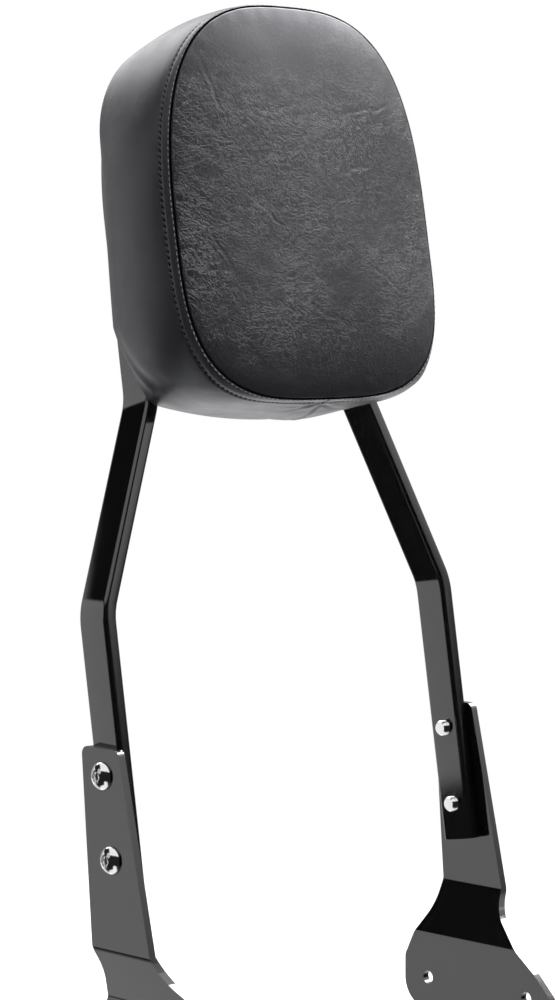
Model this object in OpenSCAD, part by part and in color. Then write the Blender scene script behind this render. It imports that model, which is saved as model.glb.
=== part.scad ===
// Sissy bar: a bent flat-bar hoop on two side plates, with an upholstered pad for the passenger.
// Frame: the pad faces -Y, Z is up, +X is the left side as one sits. Origin midway between the bolt patterns of the two feet.
// Millimetres.

/* [Flat bar hoop] */
// Fore-aft width of the flat bar
bar_w = 25; // [22:0.5:28]
// Thickness of the flat bar
bar_t = 10; // [8:0.5:12]
// Rounding of the bar's long edges
bar_edge_r = 2.5; // [1:0.25:3.5]
// Outside width over the two lower runs
hoop_w = 305; // [285:1:325]
// Outside width over the two upper runs
neck_w = 197; // [185:1:209]
// Lower side bolt to the first bend, along the bar
knee1_h = 149; // [130:1:165]
// Lower side bolt to the second bend, along the bar
knee2_h = 277; // [262:1:290]
// Lower side bolt to the top of the hoop, along the bar
hoop_h = 506; // [489:1:524]
// Bar left below the lower side bolt
bar_tail = 24; // [18:1:30]
// Inside radius of the four side bends
bend_r = 35; // [25:1:45]
// Outside radius of the hoop's shoulders
shoulder_r = 56.5; // [50:0.5:65]
// Outside radius of the hoop's shallow top
crown_r = 168; // [150:1:190]
// Backward lean of the whole bar, in degrees
lean = 9.2; // [5:0.2:14]

/* [Side bolts] */
// Distance between the two bolts of one side
bolt_pitch = 50.8; // [44:0.4:58]
// Thread diameter of the side bolts
bolt_d = 10; // [8:0.5:11]
// Diameter of the button head
head_d = 17.5; // [15:0.5:20]
// Height of the button head
head_h = 5.5; // [4.5:0.25:6.5]
// Hexagon socket across flats
socket_af = 6; // [5:0.5:7]
// Depth of the hexagon socket
socket_depth = 3.2; // [2:0.2:4]
// Thread that stands out inside the bar
bolt_proud = 4.7; // [2:0.1:8]

/* [Side plates] */
// Thickness of the plates
plate_t = 5; // [4:0.5:6]
// Clear width between the two feet
foot_gap = 265; // [250:1:275]
// Angle of the inward joggle, in degrees
joggle_angle = 30; // [24:1:36]
// Inside radius of the plate's bends
plate_bend_r = 4; // [2:0.5:6]
// Height of the upper bend line
joggle_z = 64; // [58:1:70]
// Top edge of the plate above the lower side bolt
plate_top = 67; // [64:0.5:72]
// Radius of the plate's top corners
plate_corner_r = 5; // [2:0.5:8]
// Lower side bolt behind the middle of the foot
bolt_back = 31; // [26:1:36]
// Lower side bolt above the foot's bolt line
bolt_up = 118; // [110:1:126]
// Distance between the two strut bolts of one foot
foot_spread = 88; // [78:1:98]
// Diameter of the strut bolt holes
foot_hole_d = 8.6; // [6.6:0.2:10.6]
// Metal left around the strut bolt holes
foot_edge = 17; // [14:0.5:19]
// Top edge ahead of the bar's middle
arm_front = 17.35; // [15:0.05:18]
// Top edge behind the bar's middle
arm_rear = 16.35; // [15:0.05:18]
// Front edge's waist ahead of the lower side bolt
waist_front = 38; // [34:0.5:42]
// Rear edge's waist behind the lower side bolt
waist_rear = 16.8; // [14:0.2:19]
// Waist below the lower side bolt
waist_drop = 68; // [62:0.5:72]
// Rounding of the waist
waist_r = 30; // [24:1:36]
// Level part on top of the foot's toe
toe_len = 15; // [10:0.5:20]
// Rounding on top of the foot
foot_top_r = 8; // [5:0.5:10]

/* [Pad outline] */
// Front seam outside the hoop at each side
pad_side = 11; // [9:0.5:14]
// Front seam above the top of the hoop
pad_over = 8.6; // [7:0.2:12]
// Front seam below the second bend
pad_drop = 10.5; // [7:0.5:13]
// Widest line of the pad above its bottom seam
pad_belly = 101; // [94:1:108]
// Fullness of the front outline's upper half
front_top = 2.9; // [2.7:0.05:3.1]
// Fullness of the front outline's lower half
front_low = 3.3; // [3:0.05:3.6]
// Fullness of the rear outline's upper half
rear_top = 2.42; // [2.34:0.02:2.6]
// Fullness of the rear outline's lower half
rear_low = 4.3; // [4:0.05:4.6]
// How far the side wall swells beyond the front seam
wall_swell = 10; // [8:0.5:12]

/* [Pad depth] */
// Front seam in front of the bar's middle plane
seam_depth = 70; // [58:1:80]
// How far the seam bows back halfway up
seam_bow = 3.5; // [0:0.5:6]
// Height of the front panel's crown
face_crown = 9.5; // [6:0.5:14]
// How far the lip reaches behind the bar's middle plane, low down
lip_depth = 7.5; // [4:0.25:9]
// How much less the lip reaches back at the top
lip_taper = 10; // [6:0.5:12]
// Thickness of the upholstery vinyl
cover_t = 1.6; // [1.2:0.1:2]

/* [Pad base and fixings] */
// Thickness of the base tray's floor
tray_t = 3.6; // [3:0.2:4.6]
// Thickness of the base tray's skirt
skirt_t = 2.4; // [2:0.1:2.8]
// Gap between the hoop and the skirt
skirt_gap = 1.2; // [0.8:0.1:1.6]
// Corner radius of the tray's lower corners
tray_corner_r = 9; // [8:0.5:12]
// Radius of the tray's shallow lower edge
tray_edge_r = 390; // [340:5:450]
// Tray's lower edge below the pad's bottom seam
tray_drop = 4.3; // [3.3:0.1:5]
// Thickness of the two cross straps
strap_t = 5; // [4:0.5:6]
// Height of the two cross straps
strap_h = 25; // [20:1:30]
// Place of the lower strap on the straight upright, 0 at its foot
low_share = 0.171; // [0.1:0.001:0.3]
// Place of the upper strap on the straight upright, 1 at its top
high_share = 0.895; // [0.8:0.001:1]
// Distance between the two screws of one strap
pad_screw_spread = 92; // [72:1:110]
// Thread diameter of the pad screws
pad_screw_d = 6; // [5:0.5:6.5]
// Length of the pad screws under the head
pad_screw_len = 20; // [16:1:24]
// Outer diameter of the washers
washer_d = 14; // [12:0.5:18]
// Thickness of the washers
washer_t = 1.6; // [1:0.2:2]
// Flange diameter of the tee nuts
tee_flange_d = 19; // [16:0.5:22]

/* [Hidden] */

// Running and seating clearances
slip = 0.1;      // between soft layers
bore_slack = 0.1;  // radius of the tapped bores over the thread
hole_slack = 0.5;  // radius of the plate's holes over the thread
bar_clear = 0.3;   // pad cover in front of the bars

// The bar's middle line, in the leaning plane: x sideways, z along the bar from the lower side bolt
low_x = (hoop_w - bar_t) / 2;
top_x = (neck_w - bar_t) / 2;
knee_angle = atan((low_x - top_x) / (knee2_h - knee1_h));
mid_bend = bend_r + bar_t / 2;
knee_cut = mid_bend * tan(knee_angle / 2);
mid_shoulder = shoulder_r - bar_t / 2;
mid_crown = crown_r - bar_t / 2;
crown_z = hoop_h - crown_r;
shoulder_x = neck_w / 2 - shoulder_r;
shoulder_z = crown_z + sqrt(pow(crown_r - shoulder_r, 2) - pow(shoulder_x, 2));
crown_sweep = atan(shoulder_x / (shoulder_z - crown_z));

// Straps, tray and screws, as depths in front of the bar's middle plane
tray_back = bar_w / 2 + bar_clear + cover_t;
tray_front = tray_back + tray_t;
strap_front = bar_w / 2 - 0.5;
strap_back = strap_front - strap_t;
boss_d = washer_d + 4;
screw_x = pad_screw_spread / 2;
upright_low = knee2_h + knee_cut + strap_h / 2;
upright_high = shoulder_z - strap_h / 2;
strap_z = [for (s = [low_share, high_share]) upright_low + (upright_high - upright_low) * s];
tee_barrel_d = pad_screw_d + 2.4;
tee_flange_t = 1.5;
screw_head_d = pad_screw_d * 1.75;
screw_head_h = pad_screw_d * 0.6;

// Pad outline: radial distance from its middle, by angle from the X axis
rim_n = 96;
pad_bottom = knee2_h - pad_drop;
pad_mid = pad_bottom + pad_belly;
seam_w = neck_w / 2 + pad_side;
seam_up = hoop_h + pad_over - pad_mid;
skirt_in = skirt_gap;
skirt_out = skirt_gap + skirt_t;
lip_out = skirt_out + cover_t / 2;
tray_low = pad_bottom - tray_drop;
edge_z = tray_low + skirt_out + tray_edge_r;
corner_x = neck_w / 2 - tray_corner_r;
corner_z = edge_z - sqrt(pow(tray_edge_r - tray_corner_r, 2) - pow(corner_x, 2));
edge_sweep = asin(corner_x / (tray_edge_r - tray_corner_r));

// The lip lies in front of the bars up to lip_start, and then runs back beside them
lip_front = tray_back - cover_t;
lip_start = corner_z - sqrt(pow(tray_corner_r + skirt_in, 2) - pow(tray_corner_r, 2)) - cover_t / 2;
lip_rise = (hoop_h - knee2_h) / 5;
lip_full = lip_start + lip_rise;

function lame(a, w, up, down, n_up, n_down) =
    let (h = sin(a) >= 0 ? up : down, n = sin(a) >= 0 ? n_up : n_down)
    pow(pow(abs(cos(a)) / w, n) + pow(abs(sin(a)) / h, n), -1 / n);

// Far crossing of a ray at angle a with a circle
function ray_circle(a, cx, cz, r) =
    let (m = abs(cos(a)) * cx + sin(a) * cz)
    m + sqrt(max(0, m * m - cx * cx - cz * cz + r * r));

function seam_r(a, swell = 0) =
    lame(a, seam_w + swell, seam_up + swell * 0.48, pad_belly + swell * 0.28,
        front_top + (rear_top - front_top) * swell / wall_swell,
        front_low + (rear_low - front_low) * swell / wall_swell);

// Outline that runs a given distance outside the hoop and closes across the bottom with round corners
function hoop_r(a, off) =
    let (side = (neck_w / 2 + off) / max(0.001, abs(cos(a))),
        z = pad_mid + side * sin(a),
        shoulder = ray_circle(a, shoulder_x, shoulder_z - pad_mid, shoulder_r + off),
        corner = ray_circle(a, corner_x, corner_z - pad_mid, tray_corner_r + off))
    z > shoulder_z
        ? (atan2(shoulder * abs(cos(a)), height(a, shoulder) - crown_z) < crown_sweep
            ? ray_circle(a, 0, crown_z - pad_mid, crown_r + off) : shoulder)
        : z > corner_z ? side
        : (atan2(corner * abs(cos(a)), edge_z - height(a, corner)) < edge_sweep
            ? ray_circle(a, 0, edge_z - pad_mid, tray_edge_r + off) : corner);

// Depth of the front seam at height z, and of the lip's rear edge
function seam_v(z) =
    let (m = (z - pad_bottom) / (hoop_h + pad_over - pad_bottom) * 2 - 1)
    seam_depth - seam_bow * max(0, 1 - m * m);

function lip_v(z) =
    let (t = min(1, max(0, (z - lip_start) / lip_rise)))
    lip_front - (lip_front + lip_depth) * (1 - pow(1 - t, 1.2))
        + lip_taper * max(0, (z - lip_full) / (hoop_h - lip_full));

// One point of the pad: angle, radius, depth in front of the bar's middle plane
function at(a, r, v) = [r * cos(a), -v, pad_mid + r * sin(a)];
function height(a, r) = pad_mid + r * sin(a);

// Side wall from the seam to the lip: share of the depth, of the swell, of the turn-in, and of the flare
// where the lip lies outside the swell
wall = [[0, 0, 0, 0], [0.09, 0.4, 0, 0], [0.24, 0.8, 0, 0], [0.4, 1, 0, 0.02], [0.56, 1, 0.02, 0.08],
    [0.7, 0.98, 0.13, 0.2], [0.8, 0.95, 0.3, 0.45], [0.885, 0.9, 0.52, 0.75], [0.95, 0.85, 0.76, 0.93], [1, 0.8, 1, 1]];
flare_most = 3;

function wall_r(a, k) =
    let (edge = hoop_r(a, lip_out),
        swollen = seam_r(a, wall_swell * wall[k][1]),
        out = swollen + max(0, edge - flare_most - swollen) * wall[k][0])
    out + (edge - out) * wall[k][edge > out ? 3 : 2];

function wall_v(a, k, back = 0) =
    let (s = seam_v(height(a, seam_r(a))), e = lip_v(height(a, hoop_r(a, lip_out))) + back)
    s + (e - s) * wall[k][0];

// Edge of the tray's floor, inside the cover
function tray_r(a) = min(hoop_r(a, skirt_out), wall_r(a, 7) - cover_t - slip);

// Inside of the cover, which stays outside the skirt
function inner_r(a, k) = max(wall_r(a, k) - cover_t, k > 5 ? hoop_r(a, skirt_out + slip) : 0);

// The foam runs back beside the skirt where there is room, and else ends on the tray's floor
foam_gap = cover_t + slip;
function foam_room(a) = wall_r(a, 7) - foam_gap - hoop_r(a, skirt_out + slip) > 0.4;
function foam_v(a, k) =
    foam_room(a) ? wall_v(a, k, foam_gap) : max(wall_v(a, k, foam_gap), tray_front + 0.1 * (8 - k));
function foam_r(a) = min(hoop_r(a, skirt_out + slip), wall_r(a, 7) - foam_gap - 0.4);

// Front panel: share of the outline
face = [0.25, 0.5, 0.7, 0.84, 0.93, 0.98, 1];
function face_v(z, q) = seam_v(z) + face_crown * (1 - pow(q, 5));
function face_ring(a, q, inset) =
    let (r = (seam_r(a) - inset) * q)
    at(a, r, face_v(height(a, r), q) - inset * (1 - pow(q, 12)));

angles = [for (j = [0 : rim_n - 1]) -360 * j / rim_n];

// Triangles between ring a and ring b, each of n points
function quads(a, b, n = rim_n) = [for (j = [0 : n - 1], t = [0, 1])
    let (m = (j + 1) % n)
    t == 0 ? [a * n + j, b * n + j, b * n + m] : [a * n + j, b * n + m, a * n + m]];

module ring_loop(rings) {
    m = len(rings);
    polyhedron(points = [for (r = rings, p = r) p],
        faces = [for (k = [0 : m - 1], f = quads(k, (k + 1) % m)) f],
        convexity = 6);
}

module ring_stack(rings, first, last) {
    m = len(rings);
    n = m * rim_n;
    polyhedron(points = concat([for (r = rings, p = r) p], [first, last]),
        faces = concat([for (k = [0 : m - 2], f = quads(k, k + 1)) f],
            [for (j = [0 : rim_n - 1]) [n, j, (j + 1) % rim_n]],
            [for (j = [0 : rim_n - 1]) [n + 1, (m - 1) * rim_n + (j + 1) % rim_n, (m - 1) * rim_n + j]]),
        convexity = 6);
}

// Places a child from the leaning frame of the bar in the part's frame
module leaning() {
    translate([0, bolt_back, bolt_up]) rotate([-lean, 0, 0]) children();
}

// A flat outline of the leaning plane, from depth v0 to depth v1 in front of the bar
module slab(v0, v1) {
    rotate([90, 0, 0]) translate([0, 0, v0]) linear_extrude(v1 - v0) children();
}

// Round piece along the depth, from v0 to v1, at [x, z]
module depth_rod(p, v0, v1, d) {
    translate([p[0], 0, p[1]]) rotate([90, 0, 0]) translate([0, 0, v0]) cylinder(h = v1 - v0, d = d, $fn = 48);
}

module outline(off) {
    polygon([for (a = angles) hoop_r(a, off) * [cos(a), sin(a)] + [0, pad_mid]]);
}

// Section of the flat bar: outwards across the thickness, and across the width
corner_n = 4;
section = [for (q = [0 : 3], k = [0 : corner_n])
    let (a = 90 * q + 90 * k / corner_n, sx = q == 0 || q == 3 ? 1 : -1, sy = q < 2 ? 1 : -1)
    [sx * (bar_t / 2 - bar_edge_r) + bar_edge_r * cos(a), sy * (bar_w / 2 - bar_edge_r) + bar_edge_r * sin(a)]];

// Stations [x, z, direction of the outer face] along a bend, and along the whole bar
function bend(c, r, from, to, n) = [for (k = [0 : n])
    let (a = from + (to - from) * k / n)
    [c[0] + r * cos(a), c[1] + r * sin(a), a]];

bar_half = concat([[low_x, -bar_tail, 0]],
    bend([low_x - mid_bend, knee1_h - knee_cut], mid_bend, 0, knee_angle, 5),
    bend([top_x + mid_bend, knee2_h + knee_cut], -mid_bend, knee_angle, 0, 5),
    bend([shoulder_x, shoulder_z], mid_shoulder, 0, 90 - crown_sweep, 12));
bar_crown = bend([0, crown_z], mid_crown, 90 - crown_sweep, 90 + crown_sweep, 10);
bar_path = concat(bar_half, [for (k = [1 : len(bar_crown) - 2]) bar_crown[k]],
    [for (k = [len(bar_half) - 1 : -1 : 0]) [-bar_half[k][0], bar_half[k][1], 180 - bar_half[k][2]]]);

module bar() {
    n = len(section);
    last = (len(bar_path) - 1) * n;
    polyhedron(points = [for (p = bar_path, c = section)
            [p[0] + c[0] * cos(p[2]), c[1], p[1] + c[0] * sin(p[2])]],
        faces = concat([for (k = [0 : len(bar_path) - 2], f = quads(k, k + 1, n)) f],
            [[for (j = [0 : n - 1]) j]], [[for (j = [n - 1 : -1 : 0]) last + j]]),
        convexity = 6);
}

module hoop() {
    color("black") leaning() difference() {
        bar();
        for (z = [0, bolt_pitch], side = [-1, 1]) translate([side * low_x, 0, z]) rotate([0, 90, 0])
            cylinder(h = bar_t * 2, r = bolt_d / 2 + bore_slack, center = true, $fn = 48);
    }
}

module strap(z) {
    color("black") leaning() difference() {
        slab(strap_back, strap_front) translate([0, z]) square([neck_w - 2 * bar_t, strap_h], center = true);
        for (x = [-screw_x, screw_x]) depth_rod([x, z], strap_back - 1, strap_front + 1, pad_screw_d + 0.6);
    }
}

// Corner points of a polygon rounded with one radius each
function rounded(p, r) = [for (i = [0 : len(p) - 1])
    let (a = p[(i + len(p) - 1) % len(p)], b = p[i], c = p[(i + 1) % len(p)],
        u = (a - b) / norm(a - b), w = (c - b) / norm(c - b),
        half = acos(u * w) / 2, bis = (u + w) / norm(u + w),
        m = b + bis * (r[i] / sin(half)),
        s = b + u * (r[i] / tan(half)) - m, e = b + w * (r[i] / tan(half)) - m,
        from = atan2(s[1], s[0]), turn = atan2(e[1], e[0]) - from,
        sweep = turn > 180 ? turn - 360 : turn < -180 ? turn + 360 : turn,
        steps = r[i] < 0.01 ? 0 : 10)
    for (k = [0 : steps]) steps == 0 ? b : m + r[i] * [cos(from + sweep * k / steps), sin(from + sweep * k / steps)]];

// Side view of a plate, y to the rear and z up, with the bar's lean in its upper arm
arm_top = bolt_up + plate_top;
foot_r = foot_hole_d / 2 + foot_edge;
foot_end = foot_spread / 2 + foot_r;
arm_mid = bolt_back + plate_top * tan(lean);
plate_side = [[arm_mid + arm_rear, arm_top], [arm_mid - arm_front, arm_top],
    [bolt_back - waist_front, bolt_up - waist_drop], [toe_len - foot_end, foot_r * 0.8],
    [-foot_end, foot_r * 0.1], [-foot_end, -foot_r],
    [foot_end, -foot_r], [foot_end, foot_r * 0.6], [bolt_back + waist_rear, bolt_up - waist_drop - 2]];
plate_side_r = [plate_corner_r, plate_corner_r, waist_r, foot_top_r, foot_top_r,
    foot_r * 0.9, foot_r * 0.9, foot_top_r, waist_r];

// Front view of a plate: in the bar's plane above, stepped in to the strut below
bar_face = hoop_w / 2;
foot_face = foot_gap / 2;
foot_z = joggle_z - (bar_face - foot_face) / tan(joggle_angle);
fold = plate_t * tan(joggle_angle / 2);
plate_front = [[bar_face, arm_top + 20], [bar_face, joggle_z], [foot_face, foot_z], [foot_face, -foot_r - 20],
    [foot_face + plate_t, -foot_r - 20], [foot_face + plate_t, foot_z - fold], [bar_face + plate_t, joggle_z - fold],
    [bar_face + plate_t, arm_top + 20]];
plate_front_r = [0, plate_bend_r, plate_bend_r + plate_t, 0, 0, plate_bend_r, plate_bend_r + plate_t, 0];

module side_plate() {
    color("black") difference() {
        intersection() {
            rotate([90, 0, 0]) linear_extrude(2 * foot_end + 40, center = true)
                polygon(rounded(plate_front, plate_front_r));
            translate([foot_face - 5, 0, 0]) rotate([90, 0, 90]) linear_extrude(bar_face - foot_face + plate_t + 10)
                polygon(rounded(plate_side, plate_side_r));
        }
        for (z = [0, bolt_pitch]) leaning() translate([bar_face, 0, z]) rotate([0, 90, 0])
            cylinder(h = 4 * plate_t, r = bolt_d / 2 + hole_slack, center = true, $fn = 48);
        for (y = [-foot_spread / 2, foot_spread / 2]) translate([foot_face, y, 0]) rotate([0, 90, 0])
            cylinder(h = 4 * plate_t, d = foot_hole_d, center = true, $fn = 48);
    }
}

// Button-head screw, head outwards along +Z, underside of the head at z = 0
module button_screw(d, len, hd, hh, af, depth) {
    edge = hh * 0.2;
    rise = hh - edge;
    ball = (hd * hd / 4 + rise * rise) / (2 * rise);
    difference() {
        union() {
            cylinder(h = edge, d = hd, $fn = 48);
            translate([0, 0, edge]) intersection() {
                translate([0, 0, rise - ball]) sphere(ball, $fn = 96);
                cylinder(h = rise + 1, d = hd, $fn = 48);
            }
            translate([0, 0, 1 - len]) cylinder(h = len - 1, d = d, $fn = 48);
            translate([0, 0, -len]) cylinder(h = 1, d1 = d - 2, d2 = d, $fn = 48);
        }
        translate([0, 0, hh - depth]) cylinder(h = depth + 1, d = af / cos(30), $fn = 6);
    }
}

module side_screw(side, z) {
    color("silver") leaning() translate([side * (bar_face + plate_t), 0, z]) rotate([0, side * 90, 0])
        button_screw(bolt_d, plate_t + bar_t + bolt_proud, head_d, head_h, socket_af, socket_depth);
}

module base_tray() {
    color("dimgray") leaning() difference() {
        union() {
            slab(tray_back, tray_front)
                polygon([for (a = angles) tray_r(a) * [cos(a), sin(a)] + [0, pad_mid]]);
            difference() {
                slab(-lip_depth, tray_back) difference() {
                    outline(skirt_out);
                    outline(skirt_in);
                }
                ring_loop([for (p = [[skirt_out + 1, 0], [skirt_out + 1, 1], [skirt_in - 1, 1], [skirt_in - 1, 0]])
                    [for (a = angles)
                        at(a, hoop_r(a, p[0]), p[1] == 1 ? -lip_depth - 5 : wall_v(a, 9, cover_t + slip))]]);
            }
            for (x = [-screw_x, screw_x], z = strap_z) depth_rod([x, z], strap_front, tray_back + 0.5, boss_d);
        }
        for (x = [-screw_x, screw_x], z = strap_z) {
            depth_rod([x, z], strap_front - 1, tray_front + 1, pad_screw_d + 0.6);
            depth_rod([x, z], tray_back, tray_front + 1, tee_barrel_d + 0.2);
        }
    }
}

// Foam: under the front panel, down the side wall, and back to the tray
module foam_core() {
    color("khaki") leaning() difference() {
        ring_stack(concat(
                [for (q = face) [for (a = angles)
                    let (p = face_ring(a, q, foam_gap)) q < 1 ? p : p + [0, slip, 0]]],
                [for (k = [1 : 7]) [for (a = angles) at(a, wall_r(a, k) - foam_gap, foam_v(a, k))]],
                [[for (a = angles) at(a, foam_r(a), foam_v(a, 7))]],
                [[for (a = angles) at(a, foam_r(a), tray_front)]]),
            [0, -(face_v(pad_mid, 0) - foam_gap), pad_mid], [0, -tray_front, pad_mid]);
        for (x = [-screw_x, screw_x], z = strap_z) {
            depth_rod([x, z], tray_front - 1, tray_front + tee_flange_t + 0.3, tee_flange_d + 1);
            depth_rod([x, z], tray_front - 1, strap_back - washer_t + pad_screw_len + 2, pad_screw_d + 4);
        }
    }
}

// Side strip of the cover, from the front seam round the lip to the inside of the skirt
module boxing_band() {
    color("#3a3a3e") leaning() ring_loop(concat(
        [for (k = [0 : 9]) [for (a = angles) at(a, wall_r(a, k), wall_v(a, k))]],
        [[for (a = angles) at(a, hoop_r(a, skirt_in), wall_v(a, 9))]],
        [[for (a = angles) at(a, hoop_r(a, skirt_in), wall_v(a, 9, cover_t))]],
        [[for (a = angles) at(a, hoop_r(a, skirt_out), wall_v(a, 9, cover_t))]],
        [for (k = [8 : -1 : 0]) [for (a = angles) at(a, inner_r(a, k), wall_v(a, k, k == 8 ? cover_t * 0.7 : 0))]]));
}

module front_panel() {
    color("#404045") leaning() ring_stack(concat(
            [for (q = face) [for (a = angles) face_ring(a, q, 0)]],
            [for (i = [len(face) - 1 : -1 : 0]) [for (a = angles) face_ring(a, face[i], cover_t)]]),
        [0, -face_v(pad_mid, 0), pad_mid], [0, -(face_v(pad_mid, 0) - cover_t), pad_mid]);
}

module tee_nut(side, row) {
    p = [side * screw_x, strap_z[row]];
    color("silver") leaning() difference() {
        union() {
            depth_rod(p, tray_front, tray_front + tee_flange_t, tee_flange_d);
            depth_rod(p, tray_back + 0.2, tray_front + 0.5, tee_barrel_d);
        }
        depth_rod(p, tray_back - 1, tray_front + tee_flange_t + 1, pad_screw_d + 2 * bore_slack);
    }
}

module washer(side, row) {
    p = [side * screw_x, strap_z[row]];
    color("silver") leaning() difference() {
        depth_rod(p, strap_back - washer_t, strap_back, washer_d);
        depth_rod(p, strap_back - washer_t - 1, strap_back + 1, pad_screw_d + 0.4);
    }
}

module pad_screw(side, row) {
    color("silver") leaning() translate([side * screw_x, -(strap_back - washer_t), strap_z[row]]) rotate([-90, 0, 0])
        button_screw(pad_screw_d, pad_screw_len, screw_head_d, screw_head_h, pad_screw_d * 2 / 3, screw_head_h * 0.6);
}

hoop();
strap(strap_z[1]);  // upper_strap
strap(strap_z[0]);  // lower_strap
mirror([1, 0, 0]) side_plate();  // right_side_plate
side_plate();  // left_side_plate
side_screw(-1, bolt_pitch);  // right_upper_side_screw
side_screw(-1, 0);  // right_lower_side_screw
side_screw(1, bolt_pitch);  // left_upper_side_screw
side_screw(1, 0);  // left_lower_side_screw
base_tray();
foam_core();
boxing_band();
front_panel();
tee_nut(-1, 1);  // upper_right_tee_nut
tee_nut(1, 1);  // upper_left_tee_nut
tee_nut(-1, 0);  // lower_right_tee_nut
tee_nut(1, 0);  // lower_left_tee_nut
pad_screw(-1, 1);  // upper_right_pad_screw
pad_screw(1, 1);  // upper_left_pad_screw
pad_screw(-1, 0);  // lower_right_pad_screw
pad_screw(1, 0);  // lower_left_pad_screw
washer(-1, 1);  // upper_right_washer
washer(1, 1);  // upper_left_washer
washer(-1, 0);  // lower_right_washer
washer(1, 0);  // lower_left_washer
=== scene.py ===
import math

import bmesh
import bpy
import numpy as np
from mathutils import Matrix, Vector
from mathutils.kdtree import KDTree

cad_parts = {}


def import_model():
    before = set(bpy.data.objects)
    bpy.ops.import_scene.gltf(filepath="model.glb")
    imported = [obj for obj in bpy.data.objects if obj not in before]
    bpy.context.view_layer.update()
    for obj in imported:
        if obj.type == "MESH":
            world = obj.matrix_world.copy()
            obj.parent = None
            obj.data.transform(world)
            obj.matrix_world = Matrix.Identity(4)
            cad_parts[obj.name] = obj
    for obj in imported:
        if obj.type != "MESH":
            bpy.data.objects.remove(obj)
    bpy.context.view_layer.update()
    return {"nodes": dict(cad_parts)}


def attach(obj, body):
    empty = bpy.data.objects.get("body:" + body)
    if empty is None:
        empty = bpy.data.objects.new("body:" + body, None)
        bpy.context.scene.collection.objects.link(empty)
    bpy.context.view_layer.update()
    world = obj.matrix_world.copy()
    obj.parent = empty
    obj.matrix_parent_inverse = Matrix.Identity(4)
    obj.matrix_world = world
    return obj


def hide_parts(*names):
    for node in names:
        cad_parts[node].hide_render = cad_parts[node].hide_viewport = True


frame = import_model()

RAD = math.pi / 180
NODES = frame["nodes"]

# ---------------------------------------------------------------- sizes, in millimetres
LEAN, BACK, UP = 9.2 * RAD, 31.0, 118.0
BAR_W, BAR_T, EDGE = 25.0, 10.0, 2.5
NECK_W = 197.0
LOW_X, TOP_X = (305 - BAR_T) / 2, (NECK_W - BAR_T) / 2
KNEE1, KNEE2, HOOP_H, TAIL = 149.0, 277.0, 506.0, 24.0
BEND, SHOULDER, CROWN = 35.0 + BAR_T / 2, 56.5, 168.0
BOLTS = 50.8
BAR_FACE, PLATE_T = 152.5, 5.0
STRAP_FRONT, STRAP_BACK, STRAP_H = 12.0, 7.0, 25.0
SCREW_X = 46.0
CROWN_Z, SHOULDER_X = HOOP_H - CROWN, NECK_W / 2 - SHOULDER
SHOULDER_Z = CROWN_Z + math.sqrt((CROWN - SHOULDER) ** 2 - SHOULDER_X ** 2)
SWEEP = math.atan(SHOULDER_X / (SHOULDER_Z - CROWN_Z))
KNEE_ANGLE = math.atan((LOW_X - TOP_X) / (KNEE2 - KNEE1))
KNEE_CUT = BEND * math.tan(KNEE_ANGLE / 2)
UPRIGHT = (KNEE2 + KNEE_CUT + STRAP_H / 2, SHOULDER_Z - STRAP_H / 2)
STRAP_Z = tuple(UPRIGHT[0] + (UPRIGHT[1] - UPRIGHT[0]) * share for share in (0.171, 0.895))

PAD_OVER = 8.6
PAD_BOTTOM = KNEE2 - 10.5
BELLY = 101.0
PAD_MID = PAD_BOTTOM + BELLY
SEAM_W, SEAM_UP = NECK_W / 2 + 11, HOOP_H + PAD_OVER - PAD_MID
FRONT_TOP, FRONT_LOW, REAR_TOP, REAR_LOW = 2.9, 3.3, 2.42, 4.3
SWELL, FLARE = 10.0, 3.0
SEAM_DEPTH, SEAM_BOW, FACE_CROWN = 70.0, 3.5, 9.5
SKIRT_IN, SKIRT_OUT, LIP_OUT, COVER = 1.2, 3.6, 4.4, 1.6
TRAY_LOW, TRAY_R, TRAY_EDGE = PAD_BOTTOM - 4.3, 9.0, 390.0
EDGE_Z = TRAY_LOW + SKIRT_OUT + TRAY_EDGE
CORNER_X = NECK_W / 2 - TRAY_R
CORNER_Z = EDGE_Z - math.sqrt((TRAY_EDGE - TRAY_R) ** 2 - CORNER_X ** 2)
EDGE_SWEEP = math.asin(CORNER_X / (TRAY_EDGE - TRAY_R))
LIP_FRONT, LIP_DEPTH, LIP_TAPER = 12.8, 7.5, 10.0
LIP_START = CORNER_Z - math.sqrt((TRAY_R + SKIRT_IN) ** 2 - TRAY_R ** 2) - COVER / 2
LIP_RISE = (HOOP_H - KNEE2) / 5
LIP_FULL = LIP_START + LIP_RISE


def world(x, v, u):
    """Sideways, depth in front of the bar and height along it, in mm, to the row frame in metres."""
    x, v, u = np.broadcast_arrays(np.asarray(x, float), v, u)
    y = BACK - v * math.cos(LEAN) + u * math.sin(LEAN)
    z = UP + u * math.cos(LEAN) + v * math.sin(LEAN)
    return np.stack([x, y, z], -1) * 0.001


# ---------------------------------------------------------------- mesh helpers
def mesh_object(name, verts, faces, smooth=True, sharp=None):
    me = bpy.data.meshes.new(name)
    me.from_pydata([tuple(v) for v in np.asarray(verts).reshape(-1, 3)], [], [tuple(f) for f in faces])
    me.validate()
    bm = bmesh.new()
    bm.from_mesh(me)
    bmesh.ops.recalc_face_normals(bm, faces=bm.faces)
    bm.to_mesh(me)
    bm.free()
    if smooth:
        me.polygons.foreach_set("use_smooth", [True] * len(me.polygons))
    if sharp is not None:
        me.set_sharp_from_angle(angle=sharp * RAD)
    ob = bpy.data.objects.new(name, me)
    bpy.context.scene.collection.objects.link(ob)
    return ob


def grid_faces(rows, cols, close_rows=False, start=0):
    """Quads between rows of closed columns."""
    out = []
    for i in range(rows if close_rows else rows - 1):
        a, b = start + i * cols, start + ((i + 1) % rows) * cols
        for j in range(cols):
            k = (j + 1) % cols
            out.append((a + j, b + j, b + k, a + k))
    return out


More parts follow.
